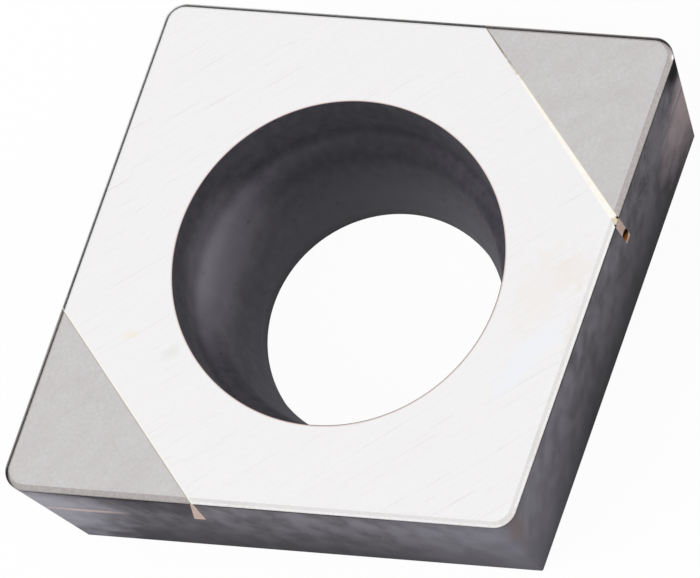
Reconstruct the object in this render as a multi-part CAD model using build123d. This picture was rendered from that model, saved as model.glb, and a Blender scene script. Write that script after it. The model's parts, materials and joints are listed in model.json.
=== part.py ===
from build123d import *
from math import cos, radians, sin, sqrt, tan
import os

# Indexable turning insert: an 80 degree rhombus with 7 degree flanks and a recessed hole for
# its screw.  A cemented carbide body carries a superhard cutting tip at each acute corner.
# Each tip lies in a ground pocket, on a film of braze metal that also fills the joint behind
# it, and the whole was ground together after brazing.
#
# Frame: origin on the hole axis in the seating face, +Z towards the cutting face, +X along the
# long diagonal through the two tips.  "East" is the tip at +X, "west" the one at -X.
# Millimetres and degrees.

# Rhombus and thickness
INSCRIBED_DIAMETER = 9.525
ACUTE_ANGLE = 80.0
THICKNESS = 3.97
FLANK_CLEARANCE = 7.0

# Corners and the honed land along the cutting edge
NOSE_RADIUS = 0.40
SEAT_CORNER_RADIUS = 0.10
LAND_WIDTH = 0.085
LAND_DROP = 0.055

# Screw hole, from the seat up: chamfer, short bore, a cone that leads into it, a rounded seat
# for the screw head, and a recess that opens a little towards its mouth
BORE_DIAMETER = 4.60
BORE_CHAMFER = 0.10
BORE_TOP_HEIGHT = 0.60
LEAD_TOP_DIAMETER = 5.16
LEAD_TOP_HEIGHT = 2.00
RECESS_FOOT_DIAMETER = 6.04
RECESS_DEPTH = 1.27
MOUTH_DIAMETER = 6.20

# Both pockets: floor height above the seating face, and the braze film on the floor
POCKET_FLOOR_HEIGHT = 2.42
FLOOR_BRAZE = 0.05

# East pocket and tip: the tip was brazed a little askew, so its joint is a wedge in plan
EAST_WALL_DISTANCE = 4.56
EAST_WALL_TURN = 0.0
EAST_JOINT_GAP = 0.08
EAST_TIP_SKEW = 1.6
EAST_TIP_LEAN = 0.0

# West pocket and tip: turned alike, and the back of the tip leans away from the pocket wall
WEST_WALL_DISTANCE = 4.61
WEST_WALL_TURN = 0.9
WEST_JOINT_GAP = 0.035
WEST_TIP_SKEW = 0.0
WEST_TIP_LEAN = 5.0

# Gas pore in the wide end of the east joint, cut open by the grinding of the flank
PORE_DIAMETER = 0.28
PORE_HEIGHT = 0.54
PORE_DEPTH = 1.14

half_angle = radians(ACUTE_ANGLE / 2)
edge_height = THICKNESS - LAND_DROP
edge_inradius = INSCRIBED_DIAMETER / 2
seat_inradius = edge_inradius - edge_height * tan(radians(FLANK_CLEARANCE))
face_inradius = edge_inradius - LAND_WIDTH
bore_radius = BORE_DIAMETER / 2
lead_top_radius = LEAD_TOP_DIAMETER / 2
recess_foot_radius = RECESS_FOOT_DIAMETER / 2
mouth_radius = MOUTH_DIAMETER / 2
long_half = edge_inradius / sin(half_angle)

# Cutting solids run out past the insert by this much
runout = THICKNESS / 2


def rounded_rhombus(inradius, corner_radius, height):
    """Outline at one height: a face whose four sides touch a circle of the given radius."""
    with BuildSketch(Plane.XY.offset(height)) as outline:
        with BuildLine():
            Polyline(
                (inradius / sin(half_angle), 0),
                (0, inradius / cos(half_angle)),
                (-inradius / sin(half_angle), 0),
                (0, -inradius / cos(half_angle)),
                close=True,
            )
        make_face()
        fillet(outline.vertices(), corner_radius)
    return outline.sketch.face()


def ground_envelope():
    """Outside of the finished insert: leaning flanks, conical corners and the edge land.

    The loft leaves its flat sides as spline faces, so each is made again as a true plane.
    """
    seat = rounded_rhombus(seat_inradius, SEAT_CORNER_RADIUS, 0)
    edge = rounded_rhombus(edge_inradius, NOSE_RADIUS, edge_height)
    face = rounded_rhombus(face_inradius, NOSE_RADIUS - LAND_WIDTH, THICKNESS)
    blank = loft([seat, edge, face], ruled=True)
    skin = [Face(side.outer_wire()) if side.is_planar else side for side in blank.faces()]
    return Solid(Shell(skin))


def screw_hole():
    """The hole as a solid: chamfer, bore, lead, head seat and recess, run out past both faces."""
    bore_top = (bore_radius, BORE_TOP_HEIGHT)
    lead_top = (lead_top_radius, LEAD_TOP_HEIGHT)
    lead_slope = (lead_top_radius - bore_radius, LEAD_TOP_HEIGHT - BORE_TOP_HEIGHT)
    recess_foot = (recess_foot_radius, THICKNESS - RECESS_DEPTH)
    with BuildSketch(Plane.XZ) as section:
        with BuildLine():
            Polyline(
                (0, -runout),
                (bore_radius + BORE_CHAMFER, -runout),
                (bore_radius + BORE_CHAMFER, 0),
                (bore_radius, BORE_CHAMFER),
                bore_top,
                lead_top,
            )
            TangentArc(lead_top, recess_foot, tangent=lead_slope)
            Polyline(
                recess_foot,
                (mouth_radius, THICKNESS),
                (mouth_radius, THICKNESS + runout),
                (0, THICKNESS + runout),
                (0, -runout),
            )
        make_face()
    return revolve(section.sketch, Axis.Z)


def corner_block(distance, floor_height, turn, lean):
    """All that lies beyond a wall at the +X corner and above a floor, run out past the insert.

    The wall crosses the cutting face at the given distance from the hole axis.  It is turned
    about the vertical there, and leans away from the hole on its way down to the floor.
    """
    depth = THICKNESS - floor_height
    lean_slope = tan(radians(lean))
    with BuildSketch(Plane.XZ) as section:
        with BuildLine():
            Polyline(
                (-lean_slope * runout, runout),
                (lean_slope * depth, -depth),
                (long_half, -depth),
                (long_half, runout),
                close=True,
            )
        make_face()
    block = extrude(section.sketch, amount=long_half, both=True)
    return Pos(distance, 0, THICKNESS) * Rot(0, 0, turn) * block


def joint_pore(wall_distance, joint_gap, tip_skew):
    """Round-ended pore that stands on the flank at the -Y end of a joint at the +X corner."""
    radius = PORE_DIAMETER / 2
    straight = PORE_HEIGHT - PORE_DIAMETER
    height = THICKNESS - PORE_DEPTH
    flank_distance = edge_inradius - (edge_height - height) * tan(radians(FLANK_CLEARANCE))
    y = (wall_distance * sin(half_angle) - flank_distance) / cos(half_angle)
    local_gap = joint_gap - y * tan(radians(tip_skew))
    x = wall_distance + local_gap / 2
    pore = Cylinder(radius, straight)
    pore += Pos(0, 0, straight / 2) * Sphere(radius)
    pore += Pos(0, 0, -straight / 2) * Sphere(radius)
    return Pos(x, y, height) * pore


envelope = ground_envelope()

east_pocket = corner_block(
    EAST_WALL_DISTANCE,
    POCKET_FLOOR_HEIGHT,
    EAST_WALL_TURN,
    lean=0,
)
east_tip_block = corner_block(
    EAST_WALL_DISTANCE + EAST_JOINT_GAP,
    POCKET_FLOOR_HEIGHT + FLOOR_BRAZE,
    EAST_WALL_TURN + EAST_TIP_SKEW,
    EAST_TIP_LEAN,
)
east_pore = joint_pore(EAST_WALL_DISTANCE, EAST_JOINT_GAP, EAST_TIP_SKEW)

half_turn = Rot(0, 0, 180)
west_pocket = half_turn * corner_block(
    WEST_WALL_DISTANCE,
    POCKET_FLOOR_HEIGHT,
    WEST_WALL_TURN,
    lean=0,
)
west_tip_block = half_turn * corner_block(
    WEST_WALL_DISTANCE + WEST_JOINT_GAP,
    POCKET_FLOOR_HEIGHT + FLOOR_BRAZE,
    WEST_WALL_TURN + WEST_TIP_SKEW,
    WEST_TIP_LEAN,
)

carbide_body = envelope - screw_hole() - east_pocket - west_pocket
cutting_tip_east = envelope & east_tip_block
cutting_tip_west = envelope & west_tip_block
braze_east = (envelope & (east_pocket - east_tip_block)) - east_pore
braze_west = envelope & (west_pocket - west_tip_block)

export_step(carbide_body, "parts/carbide_body.step")
export_step(cutting_tip_east, "parts/cutting_tip_east.step")
export_step(cutting_tip_west, "parts/cutting_tip_west.step")
export_step(braze_east, "parts/braze_east.step")
export_step(braze_west, "parts/braze_west.step")
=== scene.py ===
import json
import math

import bpy
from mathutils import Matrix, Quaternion, Vector


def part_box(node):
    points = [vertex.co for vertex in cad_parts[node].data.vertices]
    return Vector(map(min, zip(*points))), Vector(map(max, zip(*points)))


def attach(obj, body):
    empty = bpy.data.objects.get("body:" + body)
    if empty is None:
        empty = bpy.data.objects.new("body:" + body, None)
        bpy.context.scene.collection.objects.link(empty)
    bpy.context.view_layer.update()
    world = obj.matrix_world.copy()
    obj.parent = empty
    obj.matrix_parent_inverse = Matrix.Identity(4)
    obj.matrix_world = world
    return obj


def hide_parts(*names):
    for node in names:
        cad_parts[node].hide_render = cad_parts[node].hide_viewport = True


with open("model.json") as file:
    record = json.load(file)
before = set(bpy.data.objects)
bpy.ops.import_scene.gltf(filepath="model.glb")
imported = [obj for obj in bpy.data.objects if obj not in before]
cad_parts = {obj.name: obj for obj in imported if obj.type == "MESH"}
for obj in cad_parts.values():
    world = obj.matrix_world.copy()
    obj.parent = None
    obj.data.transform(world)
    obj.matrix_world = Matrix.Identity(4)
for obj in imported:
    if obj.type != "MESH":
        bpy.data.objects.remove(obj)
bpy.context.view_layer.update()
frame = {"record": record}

# ----------------------------------------------------------------------------------------------
# Ground blank.  Body and tips are brazed together first and then ground as one rhombic prism,
# so every piece of the insert is cut out of this one shape: seat, leaning flanks that turn the
# corners as cones, a honed land along the cutting edge, and the cutting face.
# ----------------------------------------------------------------------------------------------

MM = 0.001
INSCRIBED_RADIUS = 9.525 / 2
HALF_ANGLE = math.radians(40)
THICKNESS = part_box("carbide_body")[1].z / MM
CLEARANCE = math.radians(7)
NOSE_RADIUS = 0.40
SEAT_CORNER_RADIUS = 0.04
LAND_WIDTH = 0.085
LAND_DROP = 0.055
EDGE_BREAK = 0.015
FACE_BREAK_RATIO = 3.0
BREAK_STEPS = 4
NOSE_STEPS = 14
MERGE_DISTANCE = 0.0002
EDGE_HEIGHT = THICKNESS - LAND_DROP
SEAT_INRADIUS = INSCRIBED_RADIUS - EDGE_HEIGHT * math.tan(CLEARANCE)

SOCKET_KINDS = {float: "NodeSocketFloat", tuple: "NodeSocketVector"}


def add(tree, kind, inputs=None, **settings):
    """Adds a node, sets it, and gives each named input a value or a link from another node."""
    node = tree.nodes.new(kind)
    for name, value in settings.items():
        setattr(node, name, value)
    for socket, value in (inputs or {}).items():
        for source in value if isinstance(value, list) else [value]:
            if isinstance(source, bpy.types.Node):
                source = next(s for s in source.outputs if s.enabled)
            if isinstance(socket, str):
                target = next(s for s in node.inputs if s.enabled and s.name == socket)
            else:
                target = node.inputs[socket]
            if isinstance(source, bpy.types.NodeSocket):
                tree.links.new(source, target)
            else:
                target.default_value = source
    return node


def geometry_tree(name, sizes):
    """Starts a tree with one named input for each size, and returns it with those inputs."""
    tree = bpy.data.node_groups.new(name, "GeometryNodeTree")
    tree.interface.new_socket("Mesh", in_out="OUTPUT", socket_type="NodeSocketGeometry")
    for size_name, value in sizes.items():
        kind = SOCKET_KINDS[type(value)]
        socket = tree.interface.new_socket(size_name, in_out="INPUT", socket_type=kind)
        socket.default_value = value
    return tree, tree.nodes.new("NodeGroupInput").outputs


def section_curve(tree, points, rounding):
    """A polyline through the points, with a radius of its own for each corner to be rounded by."""
    index = add(tree, "GeometryNodeInputIndex")
    chosen = []
    for kind, values in (("VECTOR", points), ("FLOAT", rounding)):
        switch = add(tree, "GeometryNodeIndexSwitch", data_type=kind)
        while len(switch.index_switch_items) < len(values):
            switch.index_switch_items.new()
        tree.links.new(index.outputs[0], switch.inputs["Index"])
        for number, value in enumerate(values):
            if isinstance(value, bpy.types.NodeSocket):
                tree.links.new(value, switch.inputs[number + 1])
            else:
                switch.inputs[number + 1].default_value = value
        chosen.append(switch)
    line = add(tree, "GeometryNodeMeshLine", {"Count": len(points)})
    line = add(tree, "GeometryNodeSetPosition", {"Geometry": line, "Position": chosen[0]})
    line = add(tree, "GeometryNodeMeshToCurve", {"Mesh": line})
    return line, chosen[1]


def sweep(tree, section, round_points, path_fields, rule):
    """Sweeps the section round a closed path and puts every point where the rule says."""
    path = add(tree, "GeometryNodeCurvePrimitiveCircle", {"Resolution": round_points})
    path = add(tree, "GeometryNodeCaptureAttribute", {"Geometry": path})
    for name, field in path_fields.items():
        path.capture_items.new("VECTOR", name)
        tree.links.new(field.outputs[0], path.inputs[name])
    section = add(tree, "GeometryNodeCaptureAttribute", {"Geometry": section})
    section.capture_items.new("VECTOR", "place")
    place = add(tree, "GeometryNodeInputPosition")
    tree.links.new(place.outputs[0], section.inputs["place"])
    skin = add(tree, "GeometryNodeCurveToMesh", {"Curve": path, "Profile Curve": section})
    place = rule(section.outputs["place"], path.outputs)
    skin = add(tree, "GeometryNodeSetPosition", {"Geometry": skin, "Position": place})
    skin = add(tree, "GeometryNodeFlipFaces", {"Mesh": skin})
    return add(
        tree, "GeometryNodeMergeByDistance", {"Geometry": skin, "Distance": MERGE_DISTANCE}
    )


# An outline is given as its inscribed radius, its corner radius and its height.
blank, size = geometry_tree(
    "ground_blank",
    {
        "Seat Outline": (SEAT_INRADIUS, SEAT_CORNER_RADIUS, 0.0),
        "Edge Outline": (INSCRIBED_RADIUS, NOSE_RADIUS, EDGE_HEIGHT),
        "Face Outline": (INSCRIBED_RADIUS - LAND_WIDTH, NOSE_RADIUS - LAND_WIDTH, THICKNESS),
        "Half Angle": HALF_ANGLE,
        "Edge Break": EDGE_BREAK,
    },
)
top_centre = add(
    blank, "ShaderNodeVectorMath", {0: size["Face Outline"], 1: (0, 0, 1)}, operation="MULTIPLY"
)
soft = add(
    blank, "ShaderNodeMath", {0: size["Edge Break"], 1: FACE_BREAK_RATIO}, operation="MULTIPLY"
)
outside, radius = section_curve(
    blank,
    [
        (0, 0, 0),
        size["Seat Outline"],
        size["Edge Outline"],
        size["Face Outline"],
        top_centre.outputs[0],
    ],
    [0.0, size["Edge Break"], size["Edge Break"], soft.outputs[0], 0.0],
)
outside = add(
    blank,
    "GeometryNodeFilletCurve",
    {"Curve": outside, "Radius": radius, "Count": BREAK_STEPS},
    mode="POLY",
)
# Round the outline, a point's number gives its corner, and its step there gives its facing.
number = add(blank, "GeometryNodeInputIndex")
corner = add(blank, "ShaderNodeMath", {0: number, 1: NOSE_STEPS + 1}, operation="DIVIDE")
corner = add(blank, "ShaderNodeMath", {0: corner}, operation="FLOOR")
step = add(blank, "ShaderNodeMath", {0: number, 1: NOSE_STEPS + 1}, operation="MODULO")
share = add(
    blank,
    "ShaderNodeMapRange",
    {"Value": step, "From Max": NOSE_STEPS, "To Min": -1.0, "To Max": 1.0},
)
bearing = add(blank, "ShaderNodeMath", {0: corner, 1: math.pi / 2}, operation="MULTIPLY")
obtuse = add(blank, "ShaderNodeMath", {0: corner, 1: 2}, operation="MODULO")
acute_turn = add(
    blank, "ShaderNodeMath", {0: math.pi / 2, 1: size["Half Angle"]}, operation="SUBTRACT"
)
half_turn = add(blank, "ShaderNodeMix", {0: obtuse, 2: acute_turn, 3: size["Half Angle"]})
facing = add(
    blank, "ShaderNodeMath", {0: share, 1: half_turn, 2: bearing}, operation="MULTIPLY_ADD"
)
corner_point = {}
outward = {}
for axis, turn in (("X", "SINE"), ("Y", "COSINE")):
    direction = "COSINE" if axis == "X" else "SINE"
    reach = add(blank, "ShaderNodeMath", {0: size["Half Angle"]}, operation=turn)
    along = add(blank, "ShaderNodeMath", {0: bearing}, operation=direction)
    corner_point[axis] = add(blank, "ShaderNodeMath", {0: along, 1: reach}, operation="DIVIDE")
    outward[axis] = add(blank, "ShaderNodeMath", {0: facing}, operation=direction)
corner_point = add(blank, "ShaderNodeCombineXYZ", corner_point)
outward = add(blank, "ShaderNodeCombineXYZ", outward)


def rhombus_rule(place, along):
    """Corner of the rhombus, drawn in by the corner radius and then out along the facing."""
    part = add(blank, "ShaderNodeSeparateXYZ", {0: place})
    inner = add(blank, "ShaderNodeMath", {0: part, 1: part.outputs[1]}, operation="SUBTRACT")
    centre = add(
        blank, "ShaderNodeVectorMath", {0: along["corner"], "Scale": inner}, operation="SCALE"
    )
    nose = add(
        blank,
        "ShaderNodeVectorMath",
        {0: along["outward"], "Scale": part.outputs[1]},
        operation="SCALE",
    )
    flat = add(blank, "ShaderNodeVectorMath", {0: centre, 1: nose}, operation="ADD")
    height = add(blank, "ShaderNodeCombineXYZ", {2: part.outputs[2]})
    return add(blank, "ShaderNodeVectorMath", {0: flat, 1: height}, operation="ADD")


skin = sweep(
    blank,
    outside,
    4 * (NOSE_STEPS + 1),
    {"corner": corner_point, "outward": outward},
    rhombus_rule,
)
add(blank, "NodeGroupOutput", {0: skin})

# ----------------------------------------------------------------------------------------------
# Pocket block.  The corner of the body is ground away behind a plain wall and down to a floor;
# the tip that fills the pocket has a back and an underside of its own, so the same block, set a
# little further out and a little turned, cuts the tip, and what lies between the two is braze.
# ----------------------------------------------------------------------------------------------

RUNOUT = THICKNESS / 2
LONG_HALF = INSCRIBED_RADIUS / math.sin(HALF_ANGLE)
BLOCK_SIZES = {"Distance": 4.6, "Floor Height": 2.42, "Turn": 0.0, "Lean": 0.0, "Bearing": 0.0}

block, size = geometry_tree("corner_block", BLOCK_SIZES)
place = add(block, "GeometryNodeInputPosition")
part = add(block, "ShaderNodeSeparateXYZ", {0: place})
depth = add(
    block, "ShaderNodeMath", {0: THICKNESS, 1: size["Floor Height"]}, operation="SUBTRACT"
)
depth = add(block, "ShaderNodeMath", {0: depth, 1: -1.0}, operation="MULTIPLY")
low = add(
    block,
    "ShaderNodeMapRange",
    {
        "Value": part.outputs[2],
        "From Min": -1.0,
        "From Max": 1.0,
        "To Min": depth,
        "To Max": RUNOUT,
    },
)
slope = add(block, "ShaderNodeMath", {0: size["Lean"]}, operation="TANGENT")
wall = add(block, "ShaderNodeMath", {0: low, 1: slope}, operation="MULTIPLY")
wall = add(block, "ShaderNodeMath", {0: wall, 1: -1.0}, operation="MULTIPLY")
across = add(
    block,
    "ShaderNodeMapRange",
    {"Value": part, "From Min": -1.0, "From Max": 1.0, "To Min": wall, "To Max": LONG_HALF},
)
along = add(block, "ShaderNodeMath", {0: part.outputs[1], 1: LONG_HALF}, operation="MULTIPLY")
place = add(block, "ShaderNodeCombineXYZ", {0: across, 1: along, 2: low})
cube = add(block, "GeometryNodeMeshCube", {"Size": (2, 2, 2)})
cube = add(block, "GeometryNodeSetPosition", {"Geometry": cube, "Position": place})
turn = add(block, "ShaderNodeCombineXYZ", {2: size["Turn"]})
shift = add(block, "ShaderNodeCombineXYZ", {0: size["Distance"], 2: THICKNESS})
cube = add(
    block, "GeometryNodeTransform", {"Geometry": cube, "Translation": shift, "Rotation": turn}
)
turn = add(block, "ShaderNodeCombineXYZ", {2: size["Bearing"]})
cube = add(block, "GeometryNodeTransform", {"Geometry": cube, "Rotation": turn})
add(block, "NodeGroupOutput", {0: cube})

# ----------------------------------------------------------------------------------------------
# Carbide body.  Tungsten carbide, pressed with its flared screw hole and sintered, then ground
# on the seat, the cutting face and all four flanks.  The tips are brazed into its two pockets.
# ----------------------------------------------------------------------------------------------

BORE_RADIUS = frame["record"]["mounts"][0]["dims"]["r_mm"]
BORE_CHAMFER = 0.10
BORE_TOP_HEIGHT = 0.60
LEAD_TOP_RADIUS = 2.58
LEAD_TOP_HEIGHT = 2.00
RECESS_FOOT_RADIUS = 3.02
RECESS_FOOT_HEIGHT = THICKNESS - 1.27
MOUTH_RADIUS = 3.10
MOUTH_FLARE = 0.4
MOUTH_RISE = 0.05
ARRIS_RADIUS = 0.03
BORE_TOP_ROUNDING = 1.0
HEAD_SEAT_EASING = 0.4
FOOT_RADIUS = 0.3
HOLE_STEPS = 192
PIT_SPACING = 0.3125
ROUNDING_STEPS = 14
# The head seat is an arc tangent to the lead: it rounds the corner where both tangents meet.
lead_angle = math.atan((LEAD_TOP_RADIUS - BORE_RADIUS) / (LEAD_TOP_HEIGHT - BORE_TOP_HEIGHT))
seat_chord = Vector(
    (RECESS_FOOT_RADIUS - LEAD_TOP_RADIUS, RECESS_FOOT_HEIGHT - LEAD_TOP_HEIGHT)
)
half_bend = math.atan2(seat_chord.x, seat_chord.y) - lead_angle
HEAD_SEAT_RADIUS = seat_chord.length / 2 / math.sin(half_bend)
tangent_length = seat_chord.length / 2 / math.cos(half_bend)
SEAT_KINK = (
    LEAD_TOP_RADIUS + tangent_length * math.sin(lead_angle),
    LEAD_TOP_HEIGHT + tangent_length * math.cos(lead_angle),
)
POCKET_FLOOR = 2.42
EAST_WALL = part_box("braze_east")[0].x / MM
WEST_WALL = 4.61
WEST_TURN = math.radians(0.9)
SHARP_ANGLE = math.radians(24)
# A face counts as flat, or as part of the land, when its normal points up by more than this.
FLAT = 0.999
SLOPED = 0.1


def region(tree, **limits):
    """A selection of faces by height, by how far up they face, and by distance from the axis."""
    place = add(tree, "ShaderNodeSeparateXYZ", {0: add(tree, "GeometryNodeInputPosition")})
    facing = add(tree, "ShaderNodeSeparateXYZ", {0: add(tree, "GeometryNodeInputNormal")})
    flat = add(tree, "ShaderNodeCombineXYZ", {0: place, 1: place.outputs[1]})
    radius = add(tree, "ShaderNodeVectorMath", {0: flat}, operation="LENGTH")
    measures = {
        "height": place.outputs[2],
        "up": facing.outputs[2],
        "radius": radius.outputs["Value"],
    }
    chosen = None
    for name, limit in limits.items():
        measure, side = name.split("_")
        operation = "GREATER_THAN" if side == "over" else "LESS_THAN"
        test = add(tree, "ShaderNodeMath", {0: measures[measure], 1: limit}, operation=operation)
        if chosen is not None:
            test = add(tree, "ShaderNodeMath", {0: chosen, 1: test}, operation="MULTIPLY")
        chosen = test
    return chosen


def finish_piece(tree, mesh, finishes):
    """Scales the mesh to metres, shades it and gives each region its finish."""
    angle = add(tree, "GeometryNodeInputMeshEdgeAngle")
    sharp = add(tree, "ShaderNodeMath", {0: angle, 1: SHARP_ANGLE}, operation="GREATER_THAN")
    mesh = add(tree, "GeometryNodeTransform", {"Geometry": mesh, "Scale": (MM, MM, MM)})
    mesh = add(
        tree,
        "GeometryNodeSetShadeSmooth",
        {"Geometry": mesh, "Selection": sharp, "Shade Smooth": False},
        domain="EDGE",
    )
    mesh = add(tree, "GeometryNodeRealizeInstances", {"Geometry": mesh})
    for material, chosen in finishes:
        mesh = add(tree, "GeometryNodeSetMaterial", {"Geometry": mesh, "Material": material})
        if chosen is not None:
            tree.links.new(chosen.outputs[0], mesh.inputs["Selection"])
    add(tree, "NodeGroupOutput", {0: mesh})


def make_piece(name, node, tree, sizes):
    """Evaluates a tree into a plain mesh object that stands for the CAD node."""
    piece = bpy.data.objects.new(name, bpy.data.meshes.new(name))
    bpy.context.scene.collection.objects.link(piece)
    modifier = piece.modifiers.new(name, "NODES")
    modifier.node_group = tree
    sockets = {s.name: s.identifier for s in tree.interface.items_tree if s.in_out == "INPUT"}
    for size_name, value in sizes.items():
        modifier[sockets[size_name]] = value
    depsgraph = bpy.context.evaluated_depsgraph_get()
    mesh = bpy.data.meshes.new_from_object(
        piece.evaluated_get(depsgraph), preserve_all_data_layers=True, depsgraph=depsgraph
    )
    piece.modifiers.remove(modifier)
    piece.data = mesh
    mesh.name = name
    even = piece.modifiers.new("flat faces lead", "WEIGHTED_NORMAL")
    even.keep_sharp = True
    even.weight = 100
    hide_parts(node)
    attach(piece, "root")


def linear(hex_colour):
    """An sRGB hex colour as the linear values that a shader socket takes."""
    shares = [int(hex_colour[i : i + 2], 16) / 255 for i in (1, 3, 5)]
    straight = [s / 12.92 if s <= 0.04045 else ((s + 0.055) / 1.055) ** 2.4 for s in shares]
    return (*straight, 1.0)


def new_finish(name):
    """Starts a material and returns it with its tree and its surface point in millimetres."""
    material = bpy.data.materials.new(name)
    material.use_nodes = True
    tree = material.node_tree
    tree.nodes.clear()
    place = add(tree, "ShaderNodeTexCoord").outputs["Object"]
    point = add(tree, "ShaderNodeMapping", {"Vector": place, "Scale": (1 / MM, 1 / MM, 1 / MM)})
    return material, tree, point


def grain(tree, point, cell, stretch=(1, 1, 1), turn=0.0, detail=2.0, low=0.0, high=1.0):
    """Noise whose cells are that many millimetres, longer along an axis by its stretch."""
    point = add(tree, "ShaderNodeMapping", {"Vector": point, "Rotation": (0, 0, turn)})
    point = add(
        tree,
        "ShaderNodeMapping",
        {"Vector": point, "Scale": tuple(1 / (cell * s) for s in stretch)},
    )
    noise = add(tree, "ShaderNodeTexNoise", {"Vector": point, "Scale": 1.0, "Detail": detail})
    return add(
        tree,
        "ShaderNodeMapRange",
        {"Value": noise, "From Min": 0.3, "From Max": 0.7, "To Min": low, "To Max": high},
    )


def patch(tree, point, centre, reach, ragged, cell, edge=0.3, turn=0.0):
    """A blotch, 1 at its centre, as long and wide as its reach, with a ragged soft edge."""
    away = add(
        tree,
        "ShaderNodeMapping",
        {"Vector": point, "Location": centre, "Rotation": (0, 0, turn), "Scale": reach},
        vector_type="TEXTURE",
    )
    away = add(tree, "ShaderNodeVectorMath", {0: away}, operation="LENGTH").outputs["Value"]
    rough = grain(tree, point, cell, detail=4.0, low=-ragged, high=ragged)
    away = add(tree, "ShaderNodeMath", {0: away, 1: rough}, operation="ADD")
    return add(
        tree,
        "ShaderNodeMapRange",
        {"Value": away, "From Min": 1.0 + edge, "From Max": 1.0 - edge},
        interpolation_type="SMOOTHSTEP",
    )


def tint(tree, colour, factor, other, strength=1.0):
    """Lays another colour over this one where the factor says."""
    if strength != 1.0:
        factor = add(tree, "ShaderNodeMath", {0: factor, 1: strength}, operation="MULTIPLY")
    if isinstance(colour, str):
        colour = linear(colour)
    return add(
        tree,
        "ShaderNodeMix",
        {"Factor": factor, "A": colour, "B": linear(other)},
        data_type="RGBA",
    )


# Ground and lapped carbide: nearly white, with the faint straight lines of the wheel.  The real
# lines are finer; these are drawn as coarse as they need to show.  A few tan and bluish stains.
carbide_face, tree, point = new_finish("carbide_lapped_face")
lines = grain(tree, point, 0.035, stretch=(70, 1, 1), turn=math.radians(2), detail=3.0)
deep = grain(tree, point, 0.035, stretch=(45, 1, 1), turn=math.radians(3.5), detail=2.0)
deep = add(tree, "ShaderNodeMapRange", {"Value": deep, "From Min": 0.9, "From Max": 1.0})
cloud = grain(tree, point, 0.7, stretch=(1.6, 1, 1))
fine = grain(tree, point, 0.045, detail=4.0)
colour = tint(tree, "#F7F6F7", lines, "#F3F1F3")
colour = tint(tree, colour, cloud, "#F5F4F4", 0.6)
colour = tint(tree, colour, fine, "#F0EEEF", 0.5)
colour = tint(tree, colour, deep, "#DFDCDE", 0.4)
for centre, reach, turn, other, strength in (
    ((2.85, -2.65), (0.9, 0.40), 0.45, "#F1EBE6", 0.4),
    ((3.55, -2.75), (0.38, 0.28), 0.0, "#EFE6DE", 0.32),
    ((1.95, -3.6), (0.8, 0.20), 0.25, "#F0F3F8", 0.75),
    ((2.6, -4.0), (0.85, 0.11), 0.87, "#EEE6DC", 0.45),
    ((-3.85, 1.05), (0.16, 0.09), -0.6, "#F4ECDC", 0.55),
    ((-3.4, 0.35), (0.15, 0.13), 0.0, "#E4E5E2", 0.45),
):
    centre, reach = (*centre, THICKNESS), (*reach, 1.0)
    mask = patch(tree, point, centre, reach, 0.55, 0.22, edge=0.5, turn=turn)
    colour = tint(tree, colour, mask, other, strength)
# A rust-brown line runs round the mouth of the hole, on the top face only.
RUST_CORE = 0.015
RUST_REACH = 0.045
part = add(tree, "ShaderNodeSeparateXYZ", {0: point})
flat = add(tree, "ShaderNodeCombineXYZ", {0: part, 1: part.outputs[1]})
radius = add(tree, "ShaderNodeVectorMath", {0: flat}, operation="LENGTH").outputs["Value"]
rim = add(
    tree,
    "ShaderNodeMapRange",
    {
        "Value": radius,
        "From Min": MOUTH_RADIUS + RUST_REACH,
        "From Max": MOUTH_RADIUS + RUST_CORE,
    },
)
top = add(
    tree, "ShaderNodeMath", {0: part.outputs[2], 1: THICKNESS / 2}, operation="GREATER_THAN"
)
rim = add(tree, "ShaderNodeMath", {0: rim, 1: top}, operation="MULTIPLY")
colour = tint(tree, colour, rim, "#C9A79C", 0.8)
rough = add(tree, "ShaderNodeMapRange", {"Value": fine, "To Min": 0.34, "To Max": 0.42})
height = add(tree, "ShaderNodeMath", {0: lines, 1: fine}, operation="ADD")
bump = add(tree, "ShaderNodeBump", {"Height": height, "Strength": 0.05, "Distance": 0.002 * MM})
shader = add(
    tree,
    "ShaderNodeBsdfPrincipled",
    {"Base Color": colour, "Metallic": 0.6, "Roughness": rough, "Normal": bump},
)
add(tree, "ShaderNodeOutputMaterial", {"Surface": shader})

# Honed land: a narrow bright bevel, faintly stained brown in places along the two -Y edges.
carbide_land, tree, point = new_finish("carbide_honed_land")
fine = grain(tree, point, 0.05, detail=3.0)
colour = tint(tree, "#F5F3F3", fine, "#EDEBEB")
for centre, reach, turn, strength in (
    ((2.85, -3.4, 4), (1.15, 0.10, 9), math.radians(50), 0.16),
    ((1.2, -5.1, 4), (0.35, 0.12, 9), math.radians(50), 0.16),
    ((0.15, -6.1, 4), (0.3, 0.15, 9), 0.0, 0.18),
    ((-4.0, -2.75, 4), (0.45, 0.08, 9), math.radians(-50), 0.12),
):
    mask = patch(tree, point, centre, reach, 0.8, 0.06, edge=0.6, turn=turn)
    colour = tint(tree, colour, mask, "#A88C72", strength)
# Its inner half, next to the face, is a little greyer.
rise = add(tree, "ShaderNodeSeparateXYZ", {0: point}).outputs[2]
inner = add(
    tree,
    "ShaderNodeMapRange",
    {"Value": rise, "From Min": THICKNESS - 0.030, "From Max": THICKNESS - 0.022},
)
colour = tint(tree, colour, inner, "#D6D6D4", 0.5)
bump = add(tree, "ShaderNodeBump", {"Height": fine, "Strength": 0.02, "Distance": 0.004 * MM})
shader = add(
    tree,
    "ShaderNodeBsdfPrincipled",
    {"Base Color": colour, "Metallic": 1.0, "Roughness": 0.2, "Normal": bump},
)
add(tree, "ShaderNodeOutputMaterial", {"Surface": shader})

# Heights of the painted shadow band under the land, on both flanks.
PAINTED_SHADOW_FOOT = EDGE_HEIGHT - 0.12
PAINTED_SHADOW_TOP = EDGE_HEIGHT - 0.07
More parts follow.
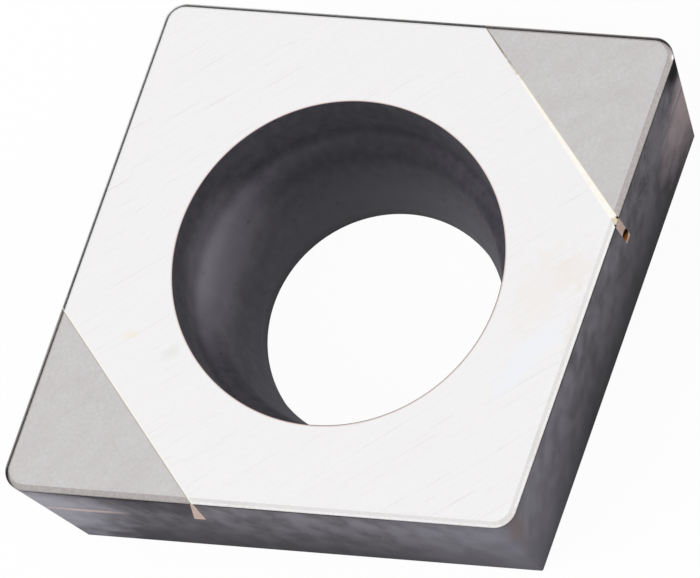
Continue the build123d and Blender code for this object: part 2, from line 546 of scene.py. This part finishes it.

# Ground flank: dark grey, clouded, with a fine vertical lay from the cup wheel, so that it
# mirrors nothing.  Painted shade darkens it toward the seat, a painted shadow lies under the
# land, and painted light makes it lighter at the corners.
carbide_flank, tree, point = new_finish("carbide_ground_flank")
cloud = grain(tree, point, 0.42, stretch=(1, 1, 2.0), detail=1.5, low=-0.3, high=1.3)
lay = grain(tree, point, 0.14, stretch=(1, 1, 2.4), detail=3.0)
fine = grain(tree, point, 0.06, detail=3.0)
rise = add(tree, "ShaderNodeSeparateXYZ", {0: point}).outputs[2]
# Painted shade: the first map darkens the flank toward the seat; the second is a painted shadow
# band just under the land.
low = add(tree, "ShaderNodeMapRange", {"Value": rise, "From Min": 3.2, "From Max": 0.3})
high = add(
    tree,
    "ShaderNodeMapRange",
    {"Value": rise, "From Min": PAINTED_SHADOW_FOOT, "From Max": PAINTED_SHADOW_TOP},
)
colour = tint(tree, "#77757D", cloud, "#555359")
colour = tint(tree, colour, lay, "#777479", 0.35)
colour = tint(tree, colour, fine, "#787579", 0.3)
colour = tint(tree, colour, low, "#3B393D", 0.85)
colour = tint(tree, colour, high, "#0E0D10", 0.85)
# Painted light: the two obtuse corners are lighter.
for centre in ((0.0, -6.3, 2.5), (0.0, 6.3, 2.5)):
    mask = patch(tree, point, centre, (2.2, 2.2, 4.0), 0.15, 0.6, edge=0.8)
    colour = tint(tree, colour, mask, "#82808A", 0.45)
# The first two rows are painted reflections that lighten the noses.
for centre, reach, other, strength in (
    ((7.0, 0.0, 1.9), (1.1, 1.1, 1.6), "#B5A5A7", 0.65),
    ((-7.0, 0.0, 1.9), (1.1, 1.1, 1.6), "#AEADB8", 0.6),
    ((-6.25, -0.8, 2.42), (0.55, 0.55, 0.07), "#CDB9B6", 0.6),
    ((0.1, -6.0, 3.2), (0.16, 0.2, 1.0), "#6A4F3E", 0.35),
):
    mask = patch(tree, point, centre, reach, 0.25, 0.4, edge=0.7)
    colour = tint(tree, colour, mask, other, strength)
bump = add(tree, "ShaderNodeBump", {"Height": fine, "Strength": 0.15, "Distance": 0.003 * MM})
shader = add(
    tree,
    "ShaderNodeBsdfPrincipled",
    {
        "Base Color": colour,
        "Metallic": 0.2,
        "Roughness": 0.5,
        "Specular IOR Level": 0.0,
        "Normal": bump,
    },
)
add(tree, "ShaderNodeOutputMaterial", {"Surface": shader})

# As-sintered hole: never ground, so a dark fine-grained skin with small pits.  Painted shade
# darkens it in three places toward +X +Y and most by the seat, and painted light makes it a
# little lighter down the lead.
carbide_hole, tree, point = new_finish("carbide_sintered_hole")
fine = grain(tree, point, 0.15, stretch=(1, 1, 1.8), detail=3.0)
cloud = grain(tree, point, 0.5, detail=3.0)
cells = add(tree, "ShaderNodeTexVoronoi", {"Vector": point, "Scale": 1 / PIT_SPACING})
pit = add(
    tree,
    "ShaderNodeMapRange",
    {"Value": cells, "From Min": 0.12, "From Max": 0.04},
    interpolation_type="SMOOTHSTEP",
)
colour = tint(tree, "#66646B", cloud, "#56545C")
colour = tint(tree, colour, fine, "#46434C", 0.65)
# Painted shade: three darker patches toward +X +Y.
for centre, reach, strength in (
    ((2.1, 2.3, 2.0), (1.7, 1.4, 4.0), 0.4),
    ((1.2, 2.5, 2.45), (1.8, 1.3, 0.4), 0.25),
    ((1.2, 2.0, 0.5), (1.5, 1.2, 1.3), 0.5),
):
    mask = patch(tree, point, centre, reach, 0.15, 0.5, edge=0.7)
    colour = tint(tree, colour, mask, "#2C2B2F", strength)
rise = add(tree, "ShaderNodeSeparateXYZ", {0: point}).outputs[2]
# Painted light: the wall is lighter down the lead.
lead = add(tree, "ShaderNodeMapRange", {"Value": rise, "From Min": 2.2, "From Max": 1.1})
colour = tint(tree, colour, lead, "#7F7D86", 0.35)
# Painted shade: the wall darkens toward the seat.
low = add(tree, "ShaderNodeMapRange", {"Value": rise, "From Min": 0.7, "From Max": 0.1})
colour = tint(tree, colour, low, "#2A292D", 0.6)
# A painted highlight: one side of the head seat is painted brighter.
mask = patch(tree, point, (-1.95, 2.05, 2.4), (1.2, 1.3, 0.75), 0.12, 0.4, edge=0.8)
colour = tint(tree, colour, mask, "#B0ADB6", 0.55)
colour = tint(tree, colour, pit, "#242328", 0.45)
height = add(tree, "ShaderNodeMath", {0: fine, 1: pit}, operation="SUBTRACT")
bump = add(tree, "ShaderNodeBump", {"Height": height, "Strength": 0.3, "Distance": 0.006 * MM})
shader = add(
    tree,
    "ShaderNodeBsdfPrincipled",
    {"Base Color": colour, "Metallic": 0.5, "Roughness": 0.7, "Normal": bump},
)
add(tree, "ShaderNodeOutputMaterial", {"Surface": shader})

body, size = geometry_tree(
    "carbide_body",
    {
        "Bore Radius": BORE_RADIUS,
        "Bore Chamfer": BORE_CHAMFER,
        "Bore Top Height": BORE_TOP_HEIGHT,
        "Seat Kink Radius": SEAT_KINK[0],
        "Seat Kink Height": SEAT_KINK[1],
        "Head Seat Radius": HEAD_SEAT_RADIUS - HEAD_SEAT_EASING,
        "Foot Radius": FOOT_RADIUS,
        "Recess Foot Radius": RECESS_FOOT_RADIUS,
        "Recess Foot Height": RECESS_FOOT_HEIGHT,
        "Mouth Radius": MOUTH_RADIUS,
        "Pocket Floor": POCKET_FLOOR,
        "East Wall": EAST_WALL,
        "West Wall": WEST_WALL,
        "West Turn": WEST_TURN,
    },
)
base = add(
    body, "ShaderNodeMath", {0: size["Bore Radius"], 1: size["Bore Chamfer"]}, operation="ADD"
)
rim = add(
    body, "ShaderNodeMath", {0: size["Mouth Radius"], 1: MOUTH_FLARE}, operation="ADD"
)
hole_points = (
    (0.0, -RUNOUT),
    (base, -RUNOUT),
    (base, 0.0),
    (size["Bore Radius"], size["Bore Chamfer"]),
    (size["Bore Radius"], size["Bore Top Height"]),
    (size["Seat Kink Radius"], size["Seat Kink Height"]),
    (size["Recess Foot Radius"], size["Recess Foot Height"]),
    (size["Mouth Radius"], THICKNESS),
    (rim, THICKNESS + MOUTH_RISE),
    (0.0, THICKNESS + RUNOUT),
)
hole_rounding = [
    0.0,
    0.0,
    0.0,
    ARRIS_RADIUS,
    BORE_TOP_ROUNDING,
    size["Head Seat Radius"],
    size["Foot Radius"],
    ARRIS_RADIUS,
    0.0,
    0.0,
]
hole_section, radius = section_curve(
    body,
    [add(body, "ShaderNodeCombineXYZ", {0: x, 2: z}).outputs[0] for x, z in hole_points],
    hole_rounding,
)
hole_section = add(
    body,
    "GeometryNodeFilletCurve",
    {"Curve": hole_section, "Radius": radius, "Count": ROUNDING_STEPS},
    mode="POLY",
)
number = add(body, "GeometryNodeInputIndex")
angle = add(
    body, "ShaderNodeMath", {0: number, 1: 2 * math.pi / HOLE_STEPS}, operation="MULTIPLY"
)
outward = add(
    body,
    "ShaderNodeCombineXYZ",
    {
        0: add(body, "ShaderNodeMath", {0: angle}, operation="COSINE"),
        1: add(body, "ShaderNodeMath", {0: angle}, operation="SINE"),
    },
)


def turned_rule(place, along):
    """Out from the axis by the section's width, and up by its height."""
    part = add(body, "ShaderNodeSeparateXYZ", {0: place})
    flat = add(
        body, "ShaderNodeVectorMath", {0: along["outward"], "Scale": part}, operation="SCALE"
    )
    height = add(body, "ShaderNodeCombineXYZ", {2: part.outputs[2]})
    return add(body, "ShaderNodeVectorMath", {0: flat, 1: height}, operation="ADD")


hole = sweep(body, hole_section, HOLE_STEPS, {"outward": outward}, turned_rule)
east_pocket = add(
    body,
    "GeometryNodeGroup",
    {"Distance": size["East Wall"], "Floor Height": size["Pocket Floor"]},
    node_tree=block,
)
west_pocket = add(
    body,
    "GeometryNodeGroup",
    {
        "Distance": size["West Wall"],
        "Floor Height": size["Pocket Floor"],
        "Turn": size["West Turn"],
        "Bearing": math.pi,
    },
    node_tree=block,
)
mesh = add(
    body,
    "GeometryNodeMeshBoolean",
    {
        "Mesh 1": add(body, "GeometryNodeGroup", node_tree=blank),
        "Mesh 2": [hole, east_pocket, west_pocket],
    },
    operation="DIFFERENCE",
    solver="EXACT",
)
LAND_MARGIN = 0.006
LAND_START = (EDGE_HEIGHT - LAND_MARGIN) * MM
HOLE_MARGIN = 0.25
HOLE_REACH = (MOUTH_RADIUS + HOLE_MARGIN) * MM
finish_piece(
    body,
    mesh,
    [
        (carbide_flank, None),
        (carbide_face, region(body, up_under=-FLAT)),
        (carbide_land, region(body, height_over=LAND_START, up_over=SLOPED)),
        (carbide_hole, region(body, radius_under=HOLE_REACH, up_over=-FLAT)),
        (carbide_face, region(body, height_over=LAND_START, up_over=FLAT)),
    ],
)
make_piece("carbide_body_ground", "carbide_body", body, {})

# ----------------------------------------------------------------------------------------------
# Cutting tips.  Each is a solid block of polycrystalline boron nitride, brazed into its pocket
# and ground with the body, so its face is matte grey beside the bright carbide.
# ----------------------------------------------------------------------------------------------

FLOOR_BRAZE = 0.05
EAST_GAP = 0.08
EAST_SKEW = math.radians(1.6)
WEST_GAP = 0.035
WEST_LEAN = math.radians(5)

# Ground tip face: a matte mid grey, finely mottled.  The real grains are a few microns; the
# mottle is drawn as coarse as it needs to show.
tip_face, tree, point = new_finish("nitride_ground_face")
fine = grain(tree, point, 0.05, detail=4.0)
cloud = grain(tree, point, 0.35, stretch=(1.5, 1, 1), detail=3.0)
lay = grain(tree, point, 0.04, stretch=(14, 1, 1), turn=math.radians(2))
colour = tint(tree, "#D2CFD0", cloud, "#CBC7C8")
colour = tint(tree, colour, fine, "#BDB9B9", 0.6)
colour = tint(tree, colour, lay, "#D8D5D5", 0.2)
bump = add(tree, "ShaderNodeBump", {"Height": fine, "Strength": 0.15, "Distance": 0.003 * MM})
shader = add(
    tree,
    "ShaderNodeBsdfPrincipled",
    {"Base Color": colour, "Metallic": 0.3, "Roughness": 0.5, "Normal": bump},
)
add(tree, "ShaderNodeOutputMaterial", {"Surface": shader})

# Honed land of the tip: darker and a little glossier than the face.
tip_land, tree, point = new_finish("nitride_honed_land")
fine = grain(tree, point, 0.06, detail=3.0)
colour = tint(tree, "#B9B3B2", fine, "#ABA5A4")
shader = add(
    tree,
    "ShaderNodeBsdfPrincipled",
    {"Base Color": colour, "Metallic": 1.0, "Roughness": 0.2},
)
add(tree, "ShaderNodeOutputMaterial", {"Surface": shader})

# Ground flank of the tip: dark, with a coarser mottle than the carbide below it.  Painted
# reflections make it lighter at both noses; it is darker along the edge by the west one, nearly
# black in a patch by the east one, and has a painted shadow under the land.
tip_flank, tree, point = new_finish("nitride_ground_flank")
fine = grain(tree, point, 0.09, stretch=(1, 1, 2.2), detail=4.0)
cloud = grain(tree, point, 0.42, stretch=(1, 1, 2.0), detail=1.5, low=-0.3, high=1.3)
colour = tint(tree, "#6C6870", cloud, "#4C494F")
colour = tint(tree, colour, fine, "#7D797D", 0.45)
# The first two rows are painted reflections that lighten the noses.
for centre, reach, other, strength in (
    ((-7.3, 0.0, 2.9), (1.6, 1.6, 1.1), "#AAA8B1", 0.7),
    ((7.3, 0.0, 2.4), (1.1, 1.1, 0.6), "#B5A5A7", 0.6),
    ((-6.25, -0.8, 2.48), (0.55, 0.55, 0.07), "#CDB9B6", 0.6),
    ((7.05, -0.25, 3.65), (0.4, 0.5, 0.45), "#060506", 0.97),
    ((-4.8, -1.9, 3.4), (1.3, 1.3, 0.7), "#3A383D", 0.6),
    ((-5.7, -1.3, 3.95), (1.2, 1.2, 0.28), "#2A282C", 0.7),
):
    mask = patch(tree, point, centre, reach, 0.15, 0.5, edge=0.5)
    colour = tint(tree, colour, mask, other, strength)
rise = add(tree, "ShaderNodeSeparateXYZ", {0: point}).outputs[2]
# Painted shadow: a dark band just under the land.
high = add(
    tree,
    "ShaderNodeMapRange",
    {"Value": rise, "From Min": PAINTED_SHADOW_FOOT, "From Max": PAINTED_SHADOW_TOP},
)
colour = tint(tree, colour, high, "#0E0D0F", 0.6)
bump = add(tree, "ShaderNodeBump", {"Height": fine, "Strength": 0.2, "Distance": 0.004 * MM})
shader = add(
    tree,
    "ShaderNodeBsdfPrincipled",
    {
        "Base Color": colour,
        "Metallic": 0.2,
        "Roughness": 0.5,
        "Specular IOR Level": 0.0,
        "Normal": bump,
    },
)
add(tree, "ShaderNodeOutputMaterial", {"Surface": shader})

tip, size = geometry_tree("cutting_tip", BLOCK_SIZES)
mesh = add(
    tip,
    "GeometryNodeMeshBoolean",
    {
        1: [
            add(tip, "GeometryNodeGroup", node_tree=blank),
            add(tip, "GeometryNodeGroup", {n: size[n] for n in BLOCK_SIZES}, node_tree=block),
        ],
    },
    operation="INTERSECT",
    solver="EXACT",
)
finish_piece(
    tip,
    mesh,
    [
        (tip_flank, None),
        (tip_land, region(tip, height_over=LAND_START, up_over=SLOPED)),
        (tip_face, region(tip, height_over=LAND_START, up_over=FLAT)),
    ],
)
EAST_TIP = {
    "Distance": EAST_WALL + EAST_GAP,
    "Floor Height": POCKET_FLOOR + FLOOR_BRAZE,
    "Turn": EAST_SKEW,
}
WEST_TIP = {
    "Distance": WEST_WALL + WEST_GAP,
    "Floor Height": POCKET_FLOOR + FLOOR_BRAZE,
    "Turn": WEST_TURN,
    "Lean": WEST_LEAN,
    "Bearing": math.pi,
}
make_piece("cutting_tip_east_ground", "cutting_tip_east", tip, EAST_TIP)
make_piece("cutting_tip_west_ground", "cutting_tip_west", tip, WEST_TIP)

# ----------------------------------------------------------------------------------------------
# Braze.  A silver-copper alloy that holds each tip: it fills the joint behind the tip and lies
# as a film under it.  The wide end of the east joint has a gas pore, cut open by the grinding.
# ----------------------------------------------------------------------------------------------

PORE_PLACE = (4.63, -2.205, 2.83)
PORE_SIZE = (0.14, 0.14, 0.27)
PORE_REACH = 1.03
FLANK_FACING = 0.98
BURNT_SPECKS = ((4.57, -2.375, 3.88), (4.70, -2.265, 3.93))
SPECK_REACH = (0.035, 0.035, 0.06)

# Ground braze: pale gold on the face.
braze_face, tree, point = new_finish("braze_ground_face")
fine = grain(tree, point, 0.08, detail=3.0)
colour = tint(tree, "#FFFEFA", fine, "#FCF5E4")
part = add(tree, "ShaderNodeSeparateXYZ", {0: point})
# East of the axis the tip side of the film is a dark line, and so is the thin far end.
across = add(
    tree,
    "ShaderNodeMath",
    {0: part.outputs[1], 1: math.tan(EAST_SKEW), 2: part},
    operation="MULTIPLY_ADD",
)
edge = EAST_WALL + EAST_GAP
mask = add(
    tree, "ShaderNodeMapRange", {"Value": across, "From Min": edge - 0.02, "From Max": edge}
)
colour = tint(tree, colour, mask, "#A08C6A", 0.7)
wander = add(
    tree, "ShaderNodeMath", {0: fine, 1: 0.5, 2: part.outputs[1]}, operation="MULTIPLY_ADD"
)
mask = add(tree, "ShaderNodeMapRange", {"Value": wander, "From Min": 1.3, "From Max": 2.0})
east = add(tree, "ShaderNodeMath", {0: part, 1: 0.0}, operation="GREATER_THAN")
mask = add(tree, "ShaderNodeMath", {0: mask, 1: east}, operation="MULTIPLY")
colour = tint(tree, colour, mask, "#7A6A5C", 0.85)
# West of it the film is thin, and warm grey on the tip side.
across = add(
    tree,
    "ShaderNodeMath",
    {0: part.outputs[1], 1: math.tan(WEST_TURN), 2: part},
    operation="MULTIPLY_ADD",
)
mask = add(
    tree,
    "ShaderNodeMapRange",
    {"Value": across, "From Min": -WEST_WALL - 0.012, "From Max": -WEST_WALL - 0.024},
)
colour = tint(tree, colour, mask, "#9F978F", 0.85)
# Where the wide end runs over the land the alloy is olive, and burnt at both corners.
mask = patch(tree, point, (4.63, -2.33, 3.93), (0.10, 0.09, 0.2), 0.3, 0.05)
colour = tint(tree, colour, mask, "#B29C5E", 0.5)
for centre in BURNT_SPECKS:
    mask = patch(tree, point, centre, SPECK_REACH, 0.3, 0.03)
    colour = tint(tree, colour, mask, "#231A10")
shader = add(
    tree,
    "ShaderNodeBsdfPrincipled",
    {"Base Color": colour, "Metallic": 0.8, "Roughness": 0.3},
)
add(tree, "ShaderNodeOutputMaterial", {"Surface": shader})

# Braze on the flank: tarnished to a pinkish tan.  The film on the pocket floor is nearly black,
# apart from a bright stretch at the west nose.
braze_flank, tree, point = new_finish("braze_tarnished_flank")
fine = grain(tree, point, 0.06, detail=3.0)
colour = tint(tree, "#CDB6AA", fine, "#B09484")
part = add(tree, "ShaderNodeSeparateXYZ", {0: point})
film = POCKET_FLOOR + FLOOR_BRAZE
mask = add(
    tree,
    "ShaderNodeMapRange",
    {"Value": part.outputs[2], "From Min": film + 0.01, "From Max": film},
)
dark = add(tree, "ShaderNodeMapRange", {"Value": part, "From Min": -6.5, "From Max": -5.6})
mask = add(tree, "ShaderNodeMath", {0: mask, 1: dark}, operation="MULTIPLY")
colour = tint(tree, colour, mask, "#363437")
for centre in BURNT_SPECKS:
    mask = patch(tree, point, centre, SPECK_REACH, 0.3, 0.03)
    colour = tint(tree, colour, mask, "#231A10")
shader = add(
    tree,
    "ShaderNodeBsdfPrincipled",
    {"Base Color": colour, "Metallic": 0.2, "Roughness": 0.5, "Specular IOR Level": 0.15},
)
add(tree, "ShaderNodeOutputMaterial", {"Surface": shader})

# Inside of the pore: orange-brown at the bottom and nearly black above.
braze_pore, tree, point = new_finish("braze_pore_inside")
fine = grain(tree, point, 0.08, detail=3.0)
colour = tint(tree, "#C0793A", fine, "#7A4520")
low = add(tree, "ShaderNodeSeparateXYZ", {0: point}).outputs[2]
low = add(tree, "ShaderNodeMapRange", {"Value": low, "From Min": 2.63, "From Max": 2.72})
colour = tint(tree, colour, low, "#0D0806", 0.95)
shader = add(
    tree,
    "ShaderNodeBsdfPrincipled",
    {"Base Color": colour, "Roughness": 0.6, "Specular IOR Level": 0.0},
)
add(tree, "ShaderNodeOutputMaterial", {"Surface": shader})

BRAZE_SIZES = {
    "Wall": 4.6,
    "Wall Turn": 0.0,
    "Gap": 0.05,
    "Skew": 0.0,
    "Lean": 0.0,
    "Bearing": 0.0,
    "Pore Size": (0.0, 0.0, 0.0),
}
braze, size = geometry_tree("braze_joint", BRAZE_SIZES)
pocket = add(
    braze,
    "GeometryNodeGroup",
    {
        "Distance": size["Wall"],
        "Floor Height": POCKET_FLOOR,
        "Turn": size["Wall Turn"],
        "Bearing": size["Bearing"],
    },
    node_tree=block,
)
tip_back = add(braze, "ShaderNodeMath", {0: size["Wall"], 1: size["Gap"]}, operation="ADD")
tip_turn = add(braze, "ShaderNodeMath", {0: size["Wall Turn"], 1: size["Skew"]}, operation="ADD")
tip_block = add(
    braze,
    "GeometryNodeGroup",
    {
        "Distance": tip_back,
        "Floor Height": POCKET_FLOOR + FLOOR_BRAZE,
        "Turn": tip_turn,
        "Lean": size["Lean"],
        "Bearing": size["Bearing"],
    },
    node_tree=block,
)
pore = add(braze, "GeometryNodeMeshIcoSphere", {"Radius": 1.0, "Subdivisions": 4})
pore = add(
    braze,
    "GeometryNodeTransform",
    {"Geometry": pore, "Translation": PORE_PLACE, "Scale": size["Pore Size"]},
)
mesh = add(
    braze,
    "GeometryNodeMeshBoolean",
    {1: [add(braze, "GeometryNodeGroup", node_tree=blank), pocket]},
    operation="INTERSECT",
    solver="EXACT",
)
mesh = add(
    braze,
    "GeometryNodeMeshBoolean",
    {"Mesh 1": mesh, "Mesh 2": [tip_block, pore]},
    operation="DIFFERENCE",
    solver="EXACT",
)
# The pore's skin: faces within its ellipsoid, a little enlarged, that do not lie in the flank.
away = add(
    braze,
    "ShaderNodeVectorMath",
    {0: add(braze, "GeometryNodeInputPosition"), 1: tuple(c * MM for c in PORE_PLACE)},
    operation="SUBTRACT",
)
away = add(
    braze,
    "ShaderNodeVectorMath",
    {0: away, 1: tuple(MM * c for c in PORE_SIZE)},
    operation="DIVIDE",
)
away = add(braze, "ShaderNodeVectorMath", {0: away}, operation="LENGTH").outputs["Value"]
near = add(braze, "ShaderNodeMath", {0: away, 1: PORE_REACH}, operation="LESS_THAN")
outward = (math.sin(HALF_ANGLE), -math.cos(HALF_ANGLE), -math.tan(CLEARANCE))
facing = add(
    braze,
    "ShaderNodeVectorMath",
    {0: add(braze, "GeometryNodeInputNormal"), 1: outward},
    operation="DOT_PRODUCT",
)
inside = add(
    braze, "ShaderNodeMath", {0: facing.outputs["Value"], 1: FLANK_FACING}, operation="LESS_THAN"
)
in_pore = add(braze, "ShaderNodeMath", {0: near, 1: inside}, operation="MULTIPLY")
finish_piece(
    braze,
    mesh,
    [
        (braze_flank, None),
        (braze_face, region(braze, height_over=LAND_START, up_over=SLOPED)),
        (braze_pore, in_pore),
    ],
)
make_piece(
    "braze_east_film",
    "braze_east",
    braze,
    {"Wall": EAST_WALL, "Gap": EAST_GAP, "Skew": EAST_SKEW, "Pore Size": PORE_SIZE},
)
make_piece(
    "braze_west_film",
    "braze_west",
    braze,
    {
        "Wall": WEST_WALL,
        "Wall Turn": WEST_TURN,
        "Gap": WEST_GAP,
        "Lean": WEST_LEAN,
        "Bearing": math.pi,
    },
)

# ----------------------------------------------------------------------------------------------
# Studio.  The insert lies on a plain pale floor under soft light.  Two cards stand round it that
# only gloss sees: a low dark ring, so that its bevels have an edge against the white, and a small
# white one that lights the hole.
# ----------------------------------------------------------------------------------------------

FLOOR_HALF = 0.6
FLOOR_SEEN = 0.96
FLOOR_MIRRORED = 0.45
CARD_DISTANCE = 0.16
CARD_FOOT = 0.0005
CARD_TOP = CARD_DISTANCE * math.tan(math.radians(21))
CARD_STEPS = 48
WHITE = (1, 1, 1, 1)
SQUARE = ((-1, -1), (1, -1), (1, 1), (-1, 1))


def stand(name, finish, corners, faces):
    """Makes a plain object of the studio from its corners and faces."""
    mesh = bpy.data.meshes.new(name)
    mesh.from_pydata(corners, [], faces)
    mesh.materials.append(finish)
    thing = bpy.data.objects.new(name, mesh)
    bpy.context.scene.collection.objects.link(thing)
    return thing


# Floor: white paper.  The camera sees it almost pure white, and gloss sees it a little darker.
floor_finish, tree, _ = new_finish("studio_floor")
seen = add(tree, "ShaderNodeLightPath")
glow = add(tree, "ShaderNodeEmission", {"Color": WHITE, "Strength": 1.0})
paper = add(tree, "ShaderNodeBsdfDiffuse", {"Color": linear("#F4F4F4")})
share = add(
    tree,
    "ShaderNodeMath",
    {0: seen.outputs["Is Camera Ray"], 1: FLOOR_SEEN},
    operation="MULTIPLY",
)
gloss = add(
    tree,
    "ShaderNodeMath",
    {0: seen.outputs["Is Glossy Ray"], 1: FLOOR_MIRRORED},
    operation="MULTIPLY",
)
share = add(tree, "ShaderNodeMath", {0: share, 1: gloss}, operation="ADD")
mixed = add(tree, "ShaderNodeMixShader", {0: share, 1: paper, 2: glow})
add(tree, "ShaderNodeOutputMaterial", {"Surface": mixed})
floor = stand(
    "studio_floor",
    floor_finish,
    [(x * FLOOR_HALF, y * FLOOR_HALF, 0) for x, y in SQUARE],
    [(0, 1, 2, 3)],
)

# Black card: a low ring round the insert.
card_finish, tree, _ = new_finish("black_card")
dark = add(tree, "ShaderNodeEmission", {"Color": WHITE, "Strength": 0.02})
add(tree, "ShaderNodeOutputMaterial", {"Surface": dark})
ring = [2 * math.pi * i / CARD_STEPS for i in range(CARD_STEPS)]
card = stand(
    "black_card",
    card_finish,
    [
        (CARD_DISTANCE * math.cos(a), CARD_DISTANCE * math.sin(a), height)
        for height in (CARD_FOOT, CARD_TOP)
        for a in ring
    ],
    [
        (i, (i + 1) % CARD_STEPS, (i + 1) % CARD_STEPS + CARD_STEPS, i + CARD_STEPS)
        for i in range(CARD_STEPS)
    ],
)
card.visible_camera = False
card.visible_diffuse = False
card.visible_shadow = False
card.visible_transmission = False

# White card: one bright strip low toward +X, which lights the rounded seat in the hole.
LIT_BEARING = math.radians(-14)
LIT_RISE = math.radians(20)
LIT_HALF = math.radians(6.5)
LIT_DISTANCE = 0.14
lit_finish, tree, _ = new_finish("white_card")
bright = add(tree, "ShaderNodeEmission", {"Color": WHITE, "Strength": 10.0})
add(tree, "ShaderNodeOutputMaterial", {"Surface": bright})
corners = []
for side, up in SQUARE:
    bearing = LIT_BEARING + side * LIT_HALF
    climb = LIT_RISE + up * LIT_HALF
    corners.append(
        (
            LIT_DISTANCE * math.cos(bearing) * math.cos(climb),
            LIT_DISTANCE * math.sin(bearing) * math.cos(climb),
            LIT_DISTANCE * math.sin(climb),
        )
    )
lit = stand("white_card", lit_finish, corners, [(0, 1, 2, 3)])
lit.visible_camera = False
lit.visible_diffuse = False
lit.visible_shadow = False
lit.visible_transmission = False

# White surroundings: camera and gloss see full white, and soft light from them is weaker.
DIFFUSE_LOSS = 0.35
world = bpy.data.worlds.new("studio_white")
bpy.context.scene.world = world
world.use_nodes = True
tree = world.node_tree
tree.nodes.clear()
seen = add(tree, "ShaderNodeLightPath")
direct = add(
    tree,
    "ShaderNodeMath",
    {0: seen.outputs["Is Diffuse Ray"], 1: -DIFFUSE_LOSS, 2: 1.0},
    operation="MULTIPLY_ADD",
)
sky = add(tree, "ShaderNodeBackground", {"Color": WHITE, "Strength": direct})
add(tree, "ShaderNodeOutputWorld", {"Surface": sky})

# Softbox: one broad lamp above the west side.
SOFTBOX_PLACE = Vector((-0.14, -0.02, 0.15))
SOFTBOX_WIDTH = 0.14
SOFTBOX_WATTS = 0.235
lamp_data = bpy.data.lights.new("softbox_left", "AREA")
lamp_data.shape = "SQUARE"
lamp_data.size = SOFTBOX_WIDTH
lamp_data.energy = SOFTBOX_WATTS
lamp = bpy.data.objects.new("softbox_left", lamp_data)
lamp.location = SOFTBOX_PLACE
lamp.rotation_mode = "QUATERNION"
lamp.rotation_quaternion = (-SOFTBOX_PLACE).to_track_quat("-Z", "Y")
lamp.visible_camera = False
lamp.visible_glossy = False
bpy.context.scene.collection.objects.link(lamp)

# Camera: far off with a long lens, well above the cutting face, and rolled.
AIM = Vector((-0.12793, 0.32839, 1.985)) * MM
DISTANCE = 364.174 * MM
AZIMUTH = math.radians(3.3422)
ELEVATION = math.radians(65.8995)
ROLL = math.radians(-36.3972)
SENSOR_WIDTH = 36
FOCAL_PIXELS = 20000
PICTURE_PIXELS = 700
camera_data = bpy.data.cameras.new("camera")
camera_data.sensor_width = SENSOR_WIDTH
camera_data.lens = SENSOR_WIDTH * FOCAL_PIXELS / PICTURE_PIXELS
camera_data.clip_start = 0.01
camera_data.clip_end = 10
camera = bpy.data.objects.new("camera", camera_data)
bpy.context.scene.collection.objects.link(camera)
back = Vector(
    (
        math.sin(AZIMUTH) * math.cos(ELEVATION),
        -math.cos(AZIMUTH) * math.cos(ELEVATION),
        math.sin(ELEVATION),
    )
)
camera.location = AIM + back * DISTANCE
camera.rotation_mode = "QUATERNION"
camera.rotation_quaternion = (-back).to_track_quat("-Z", "Y") @ Quaternion((0, 0, 1), ROLL)
bpy.context.scene.camera = camera
bpy.context.scene.view_settings.view_transform = "Standard"
